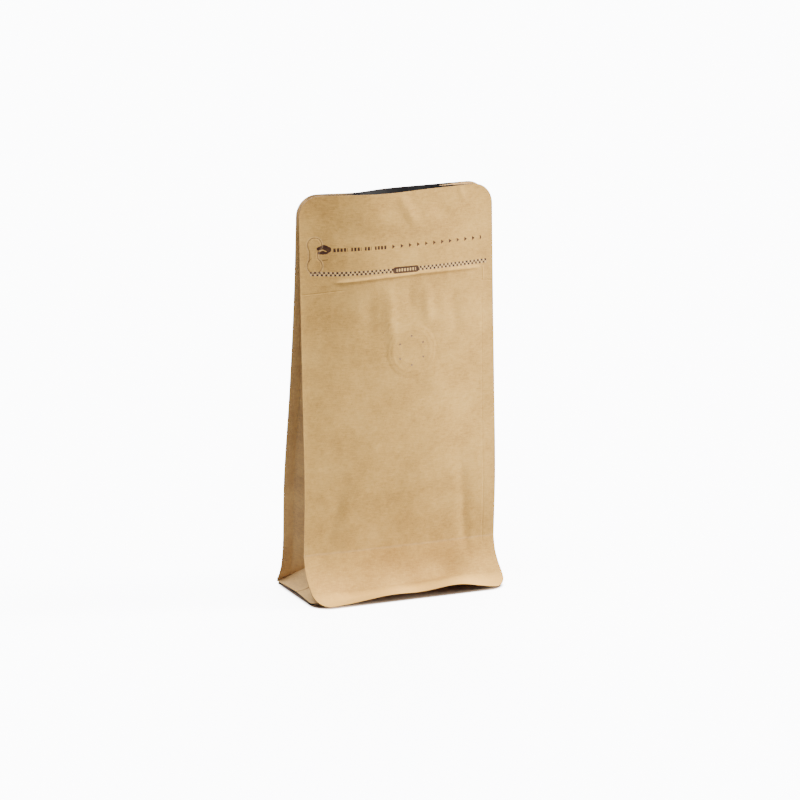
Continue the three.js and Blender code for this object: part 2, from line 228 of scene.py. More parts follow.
def inset(web, x, s, depth):
    """A point at a depth inside the outer face of the front or back web."""
    plain, facing = (front_plain, -1) if web is front_web else (back_plain, 1)
    return web(x, s) - outward(plain, x, s, facing) * np.asarray(depth)[..., None]


def corner_cut(distance, radius):
    short = np.maximum(radius - distance, 0)
    return radius - np.sqrt(np.maximum(radius**2 - short**2, 0))


def cut_back(s, foot_radius):
    return np.maximum(corner_cut(s, foot_radius), corner_cut(WEB_LENGTH - s, MOUTH_RADIUS))


COARSE, FINE, FINEST = 0.8, 0.45, 0.3  # spacing of the lines of a web's mesh
VALVE_ROWS, ZIP_ROWS, VALVE_REACH = (99, 124), (142, 147), 12.5
CORNER_TURN = np.linspace(0, np.pi / 2, 15)  # directions of the lines in a rounded corner
CORNER_TAPER = 3  # how fast the columns straighten on the way in from a rounded corner


def grid_lines(stops, pitches):
    """Places of a mesh's lines through the stops, at each run's own pitch."""
    runs = [
        np.linspace(a, b, round((b - a) / pitch) + 1)[:-1]
        for a, b, pitch in zip(stops, stops[1:], pitches)
    ]
    return np.concatenate([*runs, stops[-1:]])


def rounding(radius):
    """Distances from an edge to the lines in its rounded corner, from the edge inward."""
    return radius * (1 - np.cos(CORNER_TURN))


def panel_rows(foot_radius):
    """Rows up the web, finer over the valve and along the zip line."""
    low, high = rounding(foot_radius), WEB_LENGTH - rounding(MOUTH_RADIUS)[::-1]
    stops = [low[-1], *VALVE_ROWS, *ZIP_ROWS, high[0]]
    rows = grid_lines(stops, (COARSE, FINE, COARSE, FINEST, COARSE))
    return np.concatenate([low[:-1], rows, high[1:]])


def rounded_panel(web, facing, foot_radii):
    """The outer face of the front or back web as a grid, and its places on the paper."""
    rows = panel_rows(max(foot_radii))
    stops = [-HALF_WIDTH, VALVE_X - VALVE_REACH, VALVE_X + VALVE_REACH, HALF_WIDTH]
    columns = grid_lines(stops, (COARSE, FINE, COARSE)) * -facing
    x, s = np.meshgrid(columns, rows)
    foot = np.where(x < 0, foot_radii[0], foot_radii[1])
    x = x - np.sign(x) * cut_back(s, foot) * (np.abs(x) / HALF_WIDTH) ** CORNER_TAPER
    return web(x, s), np.stack([x, s], -1)


def placed(name, data):
    """An object in the scene, at the origin."""
    made = bpy.data.objects.new(name, data)
    bpy.context.scene.collection.objects.link(made)
    return made


SHARP_EDGE = math.radians(55)


def sheet(name, near, places, paper, paper_near=True):
    """A closed sheet of laminate from a grid of points. The far face lies one thickness behind the
    near one, whose normal is (along columns) x (along rows)."""
    rows, columns = near.shape[:2]
    normal = np.cross(np.gradient(near, axis=1), np.gradient(near, axis=0))
    normal /= np.linalg.norm(normal, axis=-1, keepdims=True)
    points = np.concatenate([near.reshape(-1, 3), (near - normal * FILM).reshape(-1, 3)]) * MM
    count = rows * columns
    index = np.arange(count).reshape(rows, columns)
    corners = [index[:-1, :-1], index[:-1, 1:], index[1:, 1:], index[1:, :-1]]
    quads = np.stack(corners, -1).reshape(-1, 4)
    ring = np.concatenate([index[0, :], index[1:, -1], index[-1, -2::-1], index[-2:0:-1, 0]])
    after = np.roll(ring, -1)
    rim = np.stack([after, ring, ring + count, after + count], -1)
    faces = np.concatenate([quads, quads[:, ::-1] + count, rim])
    mesh = bpy.data.meshes.new(name)
    mesh.from_pydata(points.tolist(), [], faces.tolist())
    sides = [0, 1, 2] if paper_near else [1, 0, 2]
    slots = np.repeat(sides, [len(quads), len(quads), len(rim)])
    mesh.polygons.foreach_set("material_index", slots.astype(np.int32))
    mesh.polygons.foreach_set("use_smooth", np.ones(len(faces), bool))
    flat = np.tile(places.reshape(-1, 2) / UV_SPAN + (0.5, 0), (2, 1))
    uv = mesh.uv_layers.new(name="web")
    uv.data.foreach_set("uv", flat[faces.ravel()].ravel())
    mesh.set_sharp_from_angle(angle=SHARP_EDGE)
    for material in (paper, film, edge):
        mesh.materials.append(material)
    return placed(name, mesh)


class Finish:
    """A material being built, whose one method `node` makes each of its nodes."""

    def __init__(self, name):
        self.material = bpy.data.materials.new(name)
        self.material.use_nodes = True
        self.tree = self.material.node_tree
        self.tree.nodes.clear()

    def node(self, kind, settings, inputs, output=0):
        made = self.tree.nodes.new(kind)
        for key, value in settings.items():
            if key == "stops":
                ramp = made.color_ramp
                while len(ramp.elements) < len(value):
                    ramp.elements.new(1.0)
                for element, (place, colour) in zip(ramp.elements, value):
                    element.position, element.color = place, (*colour, 1)
            else:
                setattr(made, key, value)
        for key, value in inputs.items():
            if isinstance(value, Signal):
                self.tree.links.new(value.socket, made.inputs[key])
            elif made.inputs[key].type == "RGBA":
                made.inputs[key].default_value = (*value, 1)
            else:
                made.inputs[key].default_value = value
        return Signal(self, made.outputs[output]) if len(made.outputs) else None

    def mix(self, share, first, second):
        settings = {"data_type": "RGBA", "clamp_factor": True}
        return self.node("ShaderNodeMix", settings, {0: share, 6: first, 7: second}, 2)

    def stretched(self, place, x, y):
        inputs = {0: place, 1: (x, y, 1)}
        return self.node("ShaderNodeVectorMath", {"operation": "MULTIPLY"}, inputs)

    def part(self, place, axis):
        return self.node("ShaderNodeSeparateXYZ", {}, {0: place}, axis)

    def on_web(self):
        """The place on the web's own paper in millimetres: x across it and s up along it."""
        uv = self.node("ShaderNodeUVMap", {"uv_map": "web"}, {})
        return self.stretched(uv, UV_SPAN, UV_SPAN)

    def noise(self, place, stretch, detail, roughness, turn=0.0):
        """Noise over the paper; stretch is in features per millimetre along x and s."""
        turned = {"Vector": place, "Angle": turn}
        rotated = self.node("ShaderNodeVectorRotate", {"rotation_type": "Z_AXIS"}, turned)
        place = self.stretched(rotated, *stretch)
        inputs = {"Vector": place, "Scale": 1.0, "Detail": detail, "Roughness": roughness}
        return self.node("ShaderNodeTexNoise", {"noise_dimensions": "2D"}, inputs, "Fac")

    def grain(self, scale, detail=2.0):
        """Noise through the whole piece; scale is in features per metre."""
        place = self.node("ShaderNodeTexCoord", {}, {}, "Object")
        inputs = {"Vector": place, "Scale": scale, "Detail": detail}
        return self.node("ShaderNodeTexNoise", {}, inputs, "Fac")

    def bump(self, height):
        return self.node("ShaderNodeBump", {}, {"Strength": 1.0, "Distance": MM, "Height": height})

    def surface(self, **sockets):
        inputs = {key.replace("_", " "): value for key, value in sockets.items()}
        shader = self.node("ShaderNodeBsdfPrincipled", {}, inputs)
        self.node("ShaderNodeOutputMaterial", {}, {"Surface": shader})
        return self.material


class Signal:
    """A socket that takes part in Python arithmetic."""

    def __init__(self, finish, socket):
        self.finish, self.socket = finish, socket

    def math(self, operation, *values, clamp=False):
        inputs = dict(enumerate((self, *values)))
        settings = {"operation": operation, "use_clamp": clamp}
        return self.finish.node("ShaderNodeMath", settings, inputs)

    def reflected(self, operation, value):
        return self.finish.node("ShaderNodeMath", {"operation": operation}, {0: value, 1: self})

    __add__ = __radd__ = lambda self, other: self.math("ADD", other)
    __mul__ = __rmul__ = lambda self, other: self.math("MULTIPLY", other)
    __sub__ = lambda self, other: self.math("SUBTRACT", other)
    __rsub__ = lambda self, other: self.reflected("SUBTRACT", other)
    __neg__ = lambda self: self.reflected("SUBTRACT", 0.0)
    __truediv__ = lambda self, other: self.math("DIVIDE", other)
    __abs__ = lambda self: self.math("ABSOLUTE")
    __mod__ = lambda self, other: self.math("FLOORED_MODULO", other)

    def limited(self):
        """This value, held between 0 and 1."""
        return self.math("ADD", 0.0, clamp=True)

    def inside(self, blur):
        """One where this distance is below zero, fading over the blur."""
        return (0.5 - self / blur).limited()

    def top(self, other):
        return self.math("MAXIMUM", other)

    def least(self, other):
        return self.math("MINIMUM", other)


def apart(dx, ds):
    return (dx * dx + ds * ds).math("SQRT")


def hump_signal(t, middle, spread):
    reach = (t - middle) / spread
    return (reach * reach * -1.0).math("EXPONENT")


def disc(x, s, cx, cs, radius):
    return apart(x - cx, s - cs) - radius


def block(x, s, cx, cs, half_x, half_s):
    return (abs(x - cx) - half_x).top(abs(s - cs) - half_s)


def bar(x, s, start, end, radius):
    """Distance to a bar with round ends."""
    (ax, ay), (bx, by) = start, end
    ux, uy = bx - ax, by - ay
    t = (((x - ax) * ux + (s - ay) * uy) / (ux * ux + uy * uy)).limited()
    return apart(x - ax - t * ux, s - ay - t * uy) - radius


# The marks on the tear strip. Those in a row repeat at a pitch from a start; a row's reach is given
# as the middle and the half sizes of the block that it fills.
PALM = (-34.1, 158.0, 1.95)  # middle, radius
FINGERS = [  # start, end, radius
    ((-33.4, 158.1), (-32.7, 158.0), 1.3), ((-34.6, 159.4), (-36.9, 158.5), 0.75),
    ((-34.8, 156.6), (-36.8, 156.8), 0.62),
]
FINGER_GAPS = [((-37.4, 157.4), (-35.0, 157.9), 0.26), ((-35.0, 157.9), (-33.6, 157.3), 0.17)]
DASH_START, DASH_PITCH, DASH = -29.1, 1.5, (0.58, 157.6, 0.5, 0.8)
DASH_GAPS, DASH_GAP_HALF = (-23.55, -17.55, -13.05), 0.75
DASH_ROW = (-18.7, 157.6, 11.9, 2)
HEAD_START, HEAD_PITCH, HEAD_LEVEL = -4.3, 3.893, 157.65
HEAD_BACK, HEAD_TIP, HEAD_SLOPE = 0.06, 1.4, 1.4
HEAD_ROW = (17.45, HEAD_LEVEL, 21.8, 1.2)
ZIP_LEVEL, LINE_RISE, RISE_MIDDLE, RISE_SPREAD = 147.25, 0.7, -42.0, 9.0
CHECK = 0.95  # side of one printed square
CHECK_ROW = (0.6, 147.5, 41.3, 3)
BADGE = ((-2.9, ZIP_LEVEL), (6.9, ZIP_LEVEL), 1.4)
TOOTH_START, TOOTH_PITCH, TOOTH = -3.0, 1.3, (0.65, ZIP_LEVEL, 0.34, 0.6)
TOOTH_ROW = (2.2, ZIP_LEVEL, 4.6, 1)
SLITS = [((-41.2, 153.2), (-39.9, 154.5), 0.1), ((-35.3, 153.4), (-33.0, 153.7), 0.1)]
INK, INK_GAP = (0.026, 0.007, 0.005), (0.80, 0.56, 0.27)
INK_BLUR, GAP_BLUR, GAP_SHARE = 0.12, 0.2, 0.34


def tear_print(x, s):
    """The tear strip's marks: a hand, dashes, arrowheads, and the chequered zip line with its
    badge. Gives the inked share and the share left pale."""
    hand = disc(x, s, *PALM)
    for finger in FINGERS:
        hand = hand.least(bar(x, s, *finger))
    for gap in FINGER_GAPS:
        hand = hand.top(-bar(x, s, *gap))
    dash = block((x - DASH_START) % DASH_PITCH, s, *DASH)
    for gap in DASH_GAPS:
        dash = dash.top(DASH_GAP_HALF - abs(x - gap))
    dash = dash.top(block(x, s, *DASH_ROW))
    step = (x - HEAD_START) % HEAD_PITCH
    head = step + abs(s - HEAD_LEVEL) * HEAD_SLOPE - HEAD_TIP
    head = head.top(HEAD_BACK - step).top(block(x, s, *HEAD_ROW))
    up = s - (ZIP_LEVEL + hump_signal(x, RISE_MIDDLE, RISE_SPREAD) * LINE_RISE)
    odd = ((x / CHECK).math("FLOOR") + (up / CHECK).math("FLOOR")) % 2.0
    line = (abs(up) - CHECK).top(block(x, s, *CHECK_ROW))
    teeth = block((x - TOOTH_START) % TOOTH_PITCH, s, *TOOTH).top(block(x, s, *TOOTH_ROW))
    inked = hand.least(dash).least(head).least(((0.5 - odd) * 0.9).top(line))
    inked = inked.least(bar(x, s, *BADGE))
    for slit in SLITS:
        inked = inked.least(bar(x, s, *slit))
    return inked.top(-teeth).inside(INK_BLUR), line.least(teeth).inside(GAP_BLUR) * GAP_SHARE


TAB_LOBES = [(-38.5, 160.2, 3.0), (-38.6, 151.2, 3.15)]  # middle and radius
TAB_WAIST = ((-39.0, 159), (-39.1, 152.5), 1.75)
TAB_MERGE = 1.2


def tab_outline(x, s):
    """Distance from the die cut of the opener tab: two lobes on a narrower waist."""
    upper, lower = (disc(x, s, *lobe) for lobe in TAB_LOBES)
    neck = upper.math("SMOOTH_MIN", bar(x, s, *TAB_WAIST), TAB_MERGE)
    return neck.math("SMOOTH_MIN", lower, TAB_MERGE)


# Hairline creases on the front, as (start, end, width, height).
PRESSED_LINES = [
    ((-44.5, 139.0), (-34.5, 139.6), 0.22, -0.13), ((-34.5, 139.6), (-26.0, 140.3), 0.22, -0.11),
    ((38.8, 139.2), (44.8, 138.5), 0.22, -0.12), ((40.0, 144.6), (40.2, 139.4), 0.3, 0.08),
    ((-43.5, 143.2), (-33.0, 142.6), 0.3, 0.03), ((39.4, 22.0), (39.0, 60.0), 0.35, -0.04),
    ((38.6, 60.0), (39.2, 134.0), 0.35, -0.025), ((-6.5, 122.5), (-8.6, 120.9), 0.3, 0.12),
]
KRAFT_LIGHT, KRAFT_MID = (0.68, 0.415, 0.116), (0.51, 0.292, 0.070)
KRAFT_DARK = (0.28, 0.14, 0.032)
# Noise in the paper: features per millimetre along x and s, detail, roughness, turn, and its share
# in the paper's tone.
PAPER_NOISE = [
    ((0.055, 0.075), 3, 0.55, 0.0, 0.55),  # clouds
    ((0.5, 0.8), 4, 0.62, 0.0, 0.4),  # formation
    ((0.28, 2.6), 3, 0.6, 0.0, 0.5),  # fibres across the bag
    ((2.1, 0.3), 2, 0.5, 0.35, 0.22),  # fibres up the bag
    ((0.4, 3.4), 2, 0.5, 0.9, 0.25),  # slanting fibres
    ((5.5, 5.5), 3, 0.7, 0.0, 0.4),  # grain
]
# Painted shade and light on the printed front: darker towards the upper left and in the skirt,
# paler on the lip.
UPPER_START, UPPER_RUN, UPPER_PAINTED_SHADE = 120.0, 60.0, 0.13
LEFT_LEAN, LEFT_RUN = 0.68, 160.0  # the painted shade at the mouth leans to the left
SKIRT_PAINTED_SHADE, SKIRT_SHADE_TINT, SKIRT_SHARE = 0.18, (0.50, 0.25, 0.045), 0.2
LIP_PAINTED_LIGHT, LIP_LIGHT_TINT, LIP_SHARE, LIP_TOP, LIP_RUN = 0.32, (0.82, 0.42, 0.08), 0.4, 7.0, 4.0
# Painted shade on the side webs between their seals, with the seals left paler.
SEAL_SHADE_CONTRAST, SEAL_MEAN, SEAL_START, SEAL_RUN = 0.34, 0.4, 22.0, 10.0
FLECK, FLECK_FROM, FLECK_SHARE = (0.30, 0.17, 0.08), 0.66, 0.35
SPECK, SPECK_FROM, SPECK_SHARE = (0.85, 0.66, 0.44), 0.70, 0.25
DOT_SHARPNESS = 9.0
# Grey that paints the side webs' shade.
SIDE_SHADE_GREY, SIDE_SHARE = (0.42, 0.37, 0.30), 0.18
GROOVE_SHADE, GROOVE_WIDTH, GROOVE_DEPTH, GROOVE_SHARE = (0.16, 0.085, 0.03), 0.4, 0.08, 0.75
WORN, WORN_WIDTH, WORN_SHARE = (0.86, 0.66, 0.40), 0.45, 0.10
CUT_SHADE, CUT_HALF, CUT_DEPTH, CUT_SHARE = (0.11, 0.058, 0.026), 0.15, 0.10, 0.8
CUT_GLINT, CUT_LIP_PLACE, CUT_LIP_HALF, CUT_LIP_SHARE = (0.86, 0.62, 0.34), 0.5, 0.14, 0.16
TAB_LIFT, TAB_LIFT_RUN = 0.14, 1.2
HOLE_SHADE, HOLE_RADIUS, HOLE_BLUR = (0.075, 0.034, 0.010), 0.42, 0.16


def kraft(name, crease_at=None, printed=False, middle_fold=False):
    """Uncoated kraft paper: clouded formation, long fibres across the bag, flecks, and a lighter
    line where a crease has cracked the surface."""
    finish = Finish(name)
    place = finish.on_web()
    x, s = finish.part(place, "X") - UV_SPAN / 2, finish.part(place, "Y")
    layers = [finish.noise(place, *shape) for *shape, _ in PAPER_NOISE]
    tone = 0.5
    for layer, (*_, share) in zip(layers, PAPER_NOISE):
        tone = (layer - 0.5) * share + tone
    _, formation, fibre, cross, slant, grain = layers
    if printed:  # painted shade towards the upper left corner and in the skirt, painted light on the lip
        upper = ((s - UPPER_START) / UPPER_RUN).limited() * (LEFT_LEAN - x / LEFT_RUN)
        skirt = ((SKIRT + 1.0 - s) / 2.0).limited()
        lip = ((LIP_TOP - s) / LIP_RUN).limited()
        tone = tone - upper * UPPER_PAINTED_SHADE - skirt * SKIRT_PAINTED_SHADE + lip * LIP_PAINTED_LIGHT
    if middle_fold:  # painted shade: above the foot, the web between the two pressed seals is darker and the seals paler
        seal = (abs(x) - (GUSSET_HALF - FIN - 0.2)).limited()
        above = ((s - SEAL_START) / SEAL_RUN).limited()
        tone = tone + (seal - SEAL_MEAN) * above * SEAL_SHADE_CONTRAST
    ramp = {"stops": [(0.0, KRAFT_DARK), (0.5, KRAFT_MID), (1.0, KRAFT_LIGHT)]}
    colour = finish.node("ShaderNodeValToRGB", ramp, {"Fac": tone})
    # The painted shade of the skirt and the painted light of the lip also shift the hue.
    if printed:
        colour = finish.mix(skirt * SKIRT_SHARE, colour, SKIRT_SHADE_TINT)
        colour = finish.mix(lip * LIP_SHARE, colour, LIP_LIGHT_TINT)
    fleck = ((slant * 0.5 + fibre * 0.5 - FLECK_FROM) * DOT_SHARPNESS).limited()
    colour = finish.mix(fleck * FLECK_SHARE, colour, FLECK)
    speck = ((grain - SPECK_FROM) * DOT_SHARPNESS).limited()
    colour = finish.mix(speck * SPECK_SHARE, colour, SPECK)
    relief = (fibre - 0.5) * 0.016 + (slant - 0.5) * 0.010
    relief = relief + (cross - 0.5) * 0.008 + (grain - 0.5) * 0.012
    rough = 0.80 + (formation - 0.5) * 0.14
    if middle_fold:
        # Painted shade: the side webs' paper is mixed toward grey, as it looks in shade.
        colour = finish.mix(SIDE_SHARE, colour, SIDE_SHADE_GREY)
        # Painted shade in the middle crease, which is also bumped in as a groove.
        groove = hump_signal(x, 0.0, GROOVE_WIDTH)
        colour = finish.mix(groove * GROOVE_SHARE, colour, GROOVE_SHADE)
        relief = relief - groove * GROOVE_DEPTH
    if crease_at is not None:
        worn = hump_signal(s, crease_at, WORN_WIDTH) * (formation + 0.25)
        colour = finish.mix(worn * WORN_SHARE, colour, WORN)
    if printed:
        inked, pale = tear_print(x, s)
        colour = finish.mix(pale, colour, INK_GAP)
        colour = finish.mix(inked * (0.95 + (formation - 0.5) * 0.2), colour, INK)
        rough = rough - inked * 0.18
        tab = tab_outline(x, s)
        # Painted shade in the die cut round the tab and a painted glint along its lip; the cut is
        # also bumped in.
        cut = (abs(tab) - CUT_HALF).inside(0.2)
        colour = finish.mix(cut * CUT_SHARE, colour, CUT_SHADE)
        cut_glint = (abs(tab - CUT_LIP_PLACE) - CUT_LIP_HALF).inside(0.3)
        colour = finish.mix(cut_glint * CUT_LIP_SHARE, colour, CUT_GLINT)
        relief = relief - cut * CUT_DEPTH + tab.inside(TAB_LIFT_RUN) * TAB_LIFT
        for start, end, width, height in PRESSED_LINES:
            relief = relief + hump_signal(bar(x, s, start, end, 0.0), 0.0, width) * height
        # The six pinholes are painted dark, as the shade inside them.
        for place_x, place_s in PINHOLES:
            hole = disc(x, s, place_x, place_s, HOLE_RADIUS).inside(HOLE_BLUR)
            colour = finish.mix(hole, colour, HOLE_SHADE)
    return finish.surface(
        Base_Color=colour, Roughness=rough, Specular_IOR_Level=0.12, Normal=finish.bump(relief),
    )


def liner_film():
    """The charcoal sealing film inside: satin, faintly embossed by the paper behind it."""
    finish = Finish("sealing_film")
    place = finish.on_web()
    haze = finish.noise(place, (0.12, 0.09), 3, 0.55) - 0.5
    grain = finish.noise(place, (2.4, 3.1), 3, 0.6) - 0.5
    return finish.surface(
        Base_Color=finish.mix(haze + 0.5, (0.011, 0.0105, 0.010), (0.026, 0.0245, 0.023)),
        Roughness=0.34 + haze * 0.2 + grain * 0.12,
        Specular_IOR_Level=0.3,
        Normal=finish.bump(grain * 0.02 + haze * 0.15),
    )


def cut_edge():
    """The laminate's cut edge, where paper, foil and film show as fine grey and tan lines."""
    finish = Finish("laminate_cut_edge")
    streak = finish.noise(finish.on_web(), (1.6, 1.6), 3, 0.6)
    colour = finish.mix(streak, (0.26, 0.145, 0.05), (0.44, 0.27, 0.10))
    return finish.surface(Base_Color=colour, Roughness=0.7)


CREASE_LINE = SKIRT + 0.3  # where the foot crease has cracked the paper
front_kraft, plain_kraft = kraft("kraft_front", CREASE_LINE, True), kraft("kraft_back", CREASE_LINE)
film, edge = liner_film(), cut_edge()
front_feet = (FOOT_RADIUS["front_left"], FOOT_RADIUS["front_right"])
front_grid, front_places = rounded_panel(front_web, -1, front_feet)
front = sheet("front_web", front_grid, front_places, front_kraft)
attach(front, "root")
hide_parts("front_panel")

# ---- Back web ----
# The same laminate without print. It leans in towards the mouth, dips after the front where the
# left side web has stayed shut, and stands open on the right.
BACK_SKIRT = [
    (0, 22.6, 0.3), (6.3, 18.2, 4.6), (12, 15.4, 9.6), (18.7, 13.7, 16.1), (SKIRT, 12.9, 22),
]
BACK_WALL = [
    (SKIRT, 12.9, 22), (52.5, 11.3, 50), (95, 4, 92), (138.5, -1.8, 135), (WEB_LENGTH, -5, 177.2),
]
BACK_SWELL = [(0, 0), (SKIRT, 0.6), (60, 3), (100, 3), (144, 1.2), (WEB_LENGTH, 0.3)]
LEAN_START = 40.0  # from here up the web dips at the left and opens at the right
DIP, DIP_MIDDLE, DIP_SPREAD = 3.6, -19.0, 11.0
OPENING = 4.0  # of the right edge at the mouth
MOUTH_CALM, CALM_START, CALM_RUN = 0.8, 120.0, 50.0
BACK_LONG_HEIGHT, BACK_SEEDS = 0.18, (21, 22)
BACK_FOLDS = [
    ([(-45, 141.5), (0, 142.3), (45, 141.5)], 0.9, 0.2, 0.06),
    ([(-22, 74), (-31.5, 22)], 2.4, -0.35, 0.5),
    ([(20, 66), (31, 22)], 2.4, -0.3, 0.5),
    ([(9, 180), (-4, 154)], 3.2, 0.35, 0.4),
    ([(20, 156), (23, 112)], 3.4, -0.3, 0.4),
    ([(-46, 8.8), (-10, 9.2), (20, 8.7), (46, 8.6)], 3.0, -0.7, 0.04),
]
back_y, back_z = course(BACK_SKIRT, BACK_WALL, 1), course(BACK_SKIRT, BACK_WALL, 2)
back_swell = through(BACK_SWELL, 1)


def back_plain(x, s):
    """The back's outer face without its folds."""
    high = ease((s - LEAN_START) / (WEB_LENGTH - LEAN_START))
    swell = across(x, 0)
    opened = OPENING * high * (x + HALF_WIDTH) / (2 * HALF_WIDTH)
    dip = DIP * high * hump(x, DIP_MIDDLE, DIP_SPREAD) * np.minimum(swell * 2, 1)
    y = back_y(s) + back_swell(s) * swell + opened - dip
    return np.stack([x + 0 * s, y - FOOTPRINT_MIDDLE, back_z(s) + 0 * x], -1)


def back_web(x, s):
    calm = ease((HALF_WIDTH - np.abs(x)) / SEAL_CALM)
    calm = calm * (1 - MOUTH_CALM * ease((s - CALM_START) / CALM_RUN))
    high = pressed(x, s, BACK_FOLDS, calm, BACK_LONG_HEIGHT, BACK_SEEDS)
    return back_plain(x, s) + high[..., None] * outward(back_plain, x, s, 1)


back_grid, back_places = rounded_panel(back_web, 1, (FOOT_RADIUS["back"],) * 2)
back = sheet("back_web", back_grid, back_places, plain_kraft)
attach(back, "root")
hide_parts("back_panel")

# ---- Side webs ----
# Each side is one web, creased down its middle and folded inward. At the foot it turns through
# two 45-degree folds into a slope whose edge is sealed to the bottom web.
GUSSET_BEND = 0.45  # radius of the middle crease
GUSSET_APEX = 16.0  # height at which the middle crease ends in the two foot folds
BAG_HEIGHT = 177.2
# The slope's lower edge: height at the corner, rise towards the middle, and its depth.
SIDE_EDGE_HEIGHT, SIDE_EDGE_RISE, EDGE_SPREAD, EDGE_LIMIT = 0.85, 0.5, 0.98, 21.4
RAMP_LEAD, RAMP_SAG = 0.24, 0.65  # how the slope runs outward early, and hangs
FOLD_ROUND = 1.3
SHORTEST, FARTHEST = 0.6, 1.12  # of the web beside its seal, so that it never folds back
CREASE_DROP = 0.25  # of the middle crease on the slope
FREE_EDGE, FREE_FOLD, FREE_MIDDLE = 5.0, 14.0, 4.0  # runs over which the undulation grows
SIDE_WAVE, SIDE_WAVE_HEIGHT, SIDE_SEED = 22.0, 0.35, 31


def blend(first, second, share):
    share = np.asarray(share)[..., None]
    return first * (1 - share) + second * share


def crease_point(side, web, s):
    """On the middle crease, at the side of its bend that faces the given web."""
    root_x = side * (HALF_WIDTH - FIN) + 0 * s
    near, far = inset(front_web, root_x, s, LAYER), inset(back_web, root_x, s, LAYER)
    spread = np.maximum(far[..., 1] - near[..., 1], 0) / 2
    half_fold = GUSSET_HALF - FIN
    x = side * (HALF_WIDTH - FIN - np.sqrt(half_fold**2 - spread**2))
    middle = (front_plain(x, s)[..., 1] + back_plain(x, s)[..., 1]) / 2
    z = GUSSET_APEX + (BAG_HEIGHT - GUSSET_APEX) * (s - SKIRT) / (WEB_LENGTH - SKIRT)
    return np.stack([x, middle + (-GUSSET_BEND if web is front_web else GUSSET_BEND), z], -1)


def fold_point(side, web, reach):
    """On a 45-degree foot fold; reach is the distance from the bag's corner along the paper."""
    in_seal = np.minimum(reach, FIN)
    sealed = inset(web, side * (HALF_WIDTH - in_seal), in_seal, LAYER)
    end = crease_point(side, web, np.full(np.shape(reach), SKIRT))
    return blend(sealed, end, np.maximum(reach - FIN, 0) / (GUSSET_HALF - FIN))


def wall_point(side, web, s, reach):
    """On the upright part, between the seal to a web and the middle crease."""
    sealed = inset(web, side * (HALF_WIDTH - np.minimum(reach, FIN)), s, LAYER)
    row = s[:, :1]
    low, high = fold_point(side, web, row), crease_point(side, web, np.maximum(row, SKIRT))
    end = np.where((row < SKIRT)[..., None], low, high)
    length = np.maximum(np.minimum(s, GUSSET_HALF) - FIN, SHORTEST)
    return blend(sealed, end, np.clip((reach - FIN) / length, 0, FARTHEST))


def ramp_edge(side, web, reach):
    share = reach / GUSSET_HALF
    spread = np.minimum((GUSSET_HALF - reach) * EDGE_SPREAD, EDGE_LIMIT)
    y = (-spread if web is front_web else spread) - FOOTPRINT_MIDDLE
    return np.stack([side * (HALF_WIDTH - share), y, SIDE_EDGE_HEIGHT + SIDE_EDGE_RISE * share], -1)


def ramp_point(side, web, s, reach):
    """On the slope, between its lower edge and the foot fold."""
    share = reach / GUSSET_HALF
    edge_point, fold = ramp_edge(side, web, reach), fold_point(side, web, reach)
    t = clamp01(s / reach)
    pace = np.stack([t ** (1 - RAMP_LEAD * share), t, t ** (1 + RAMP_SAG * share)], -1)
    return edge_point + (fold - edge_point) * pace


def side_half(side, web, s, reach):
    """Half of a side web from a grid whose rows have one s each."""
    reach = np.maximum(reach, 0.01)
    point = wall_point(side, web, s, reach)
    foot_rows = s[:, 0] < GUSSET_HALF + FOLD_ROUND
    low_s, low_reach = s[foot_rows], reach[foot_rows]
    share = ease((low_s - low_reach) / FOLD_ROUND + 0.5)
    point[foot_rows] = blend(ramp_point(side, web, low_s, low_reach), point[foot_rows], share)
    return point


def side_web(side, s, w):
    reach = GUSSET_HALF - np.maximum(np.abs(w), GUSSET_BEND)
    fore, aft = side_half(side, front_web, s, reach), side_half(side, back_web, s, reach)
    around = np.clip(w / GUSSET_BEND, -1, 1) * np.pi / 2
    point = (fore + aft) / 2 + (aft - fore) / 2 * np.sin(around)[..., None]
    up = ease((s - reach) / FOLD_ROUND + 0.5)
    push = GUSSET_BEND * np.cos(around)
    point[..., 0] -= side * push * up
    point[..., 2] -= CREASE_DROP * push * (1 - up)
    free = ease((GUSSET_HALF - FIN - np.abs(w)) / FREE_EDGE) * ease((s - reach - 1) / FREE_FOLD)
    wave = SIDE_WAVE_HEIGHT * ripple(w, s, SIDE_SEED + side, SIDE_WAVE)
    point[..., 1] += np.sign(w) * free * ease(np.abs(w) / FREE_MIDDLE) * wave
    return point


def side_piece(side, name, node):
    arc = GUSSET_BEND * np.sin(np.linspace(-np.pi / 2, np.pi / 2, 7))
    flat = np.linspace(-GUSSET_HALF, -GUSSET_BEND, 36)
    columns = np.concatenate([flat[:-1], arc, -flat[-2::-1]]) * -side
    corner = 4.0  # height of the rows that round the foot corner
    shoulder = WEB_LENGTH - MOUTH_RADIUS
    rows = np.concatenate([
        rounding(corner)[:-1], np.linspace(corner, GUSSET_HALF, 31)[:-1],
        np.linspace(GUSSET_HALF, shoulder, 150)[:-1], WEB_LENGTH - rounding(MOUTH_RADIUS)[::-1],
    ])
    w, s = np.meshgrid(columns, rows)
    fore_radius = FOOT_RADIUS["front_left" if side < 0 else "front_right"]
    foot = np.where(w < 0, fore_radius, FOOT_RADIUS["back"])
    w = w - np.sign(w) * cut_back(s, foot) * (np.abs(w) / GUSSET_HALF) ** CORNER_TAPER
    places = np.stack([w, s], -1)
    piece = sheet(name, side_web(side, s, w), places, shaded_side_kraft, paper_near=False)
    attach(piece, "root")
    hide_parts(node)


# The side webs' kraft is a shaded copy of the paper, with painted shade.
shaded_side_kraft = kraft("kraft_side_shaded", middle_fold=True)
side_piece(-1, "side_web_left", "gusset_left")
side_piece(1, "side_web_right", "gusset_right")

